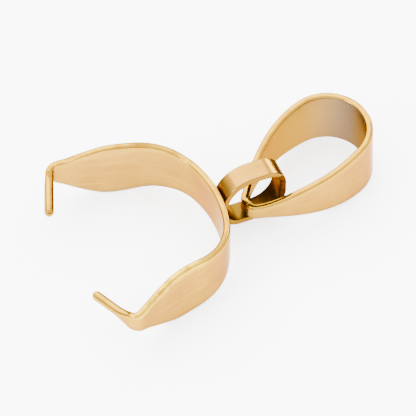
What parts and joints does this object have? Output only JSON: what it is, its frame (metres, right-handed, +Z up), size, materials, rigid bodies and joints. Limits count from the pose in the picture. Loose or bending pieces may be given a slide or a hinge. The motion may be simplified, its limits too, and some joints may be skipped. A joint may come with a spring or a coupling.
{
  "type": "pinch bail finding",
  "caption": "Gold-tone pinch bail finding: a sprung strip claw with pinch prongs, a small ring soldered to its crown, and a teardrop strip loop that swings in the ring.",
  "frame": {"origin": "middle of the box round the finding, at the height of what it lies on", "axes": "+X from the claw's open side towards the loop, +Y across the two wings, +Z up as it lies, along the width of the strips"},
  "size_m": [0.023, 0.0148, 0.0048],
  "materials": {
    "claw_metal": "polished gold-coloured plating, soft sheen on the faces and bright rims",
    "loop_metal": "polished gold-coloured plating, soft sheen on the faces and bright rims"
  },
  "bodies": {
    "claw": {"claw": "claw_metal"},
    "bail_loop": {"bail_loop": "loop_metal"}
  },
  "joints": [
    {"name": "bail_swing", "type": "hinge", "parent": "claw", "child": "bail_loop", "pos_m": [0.00142, -0.0007, 0.00194], "axis": [0, 1, 0], "range_deg": [-100, 0]}
  ]
}
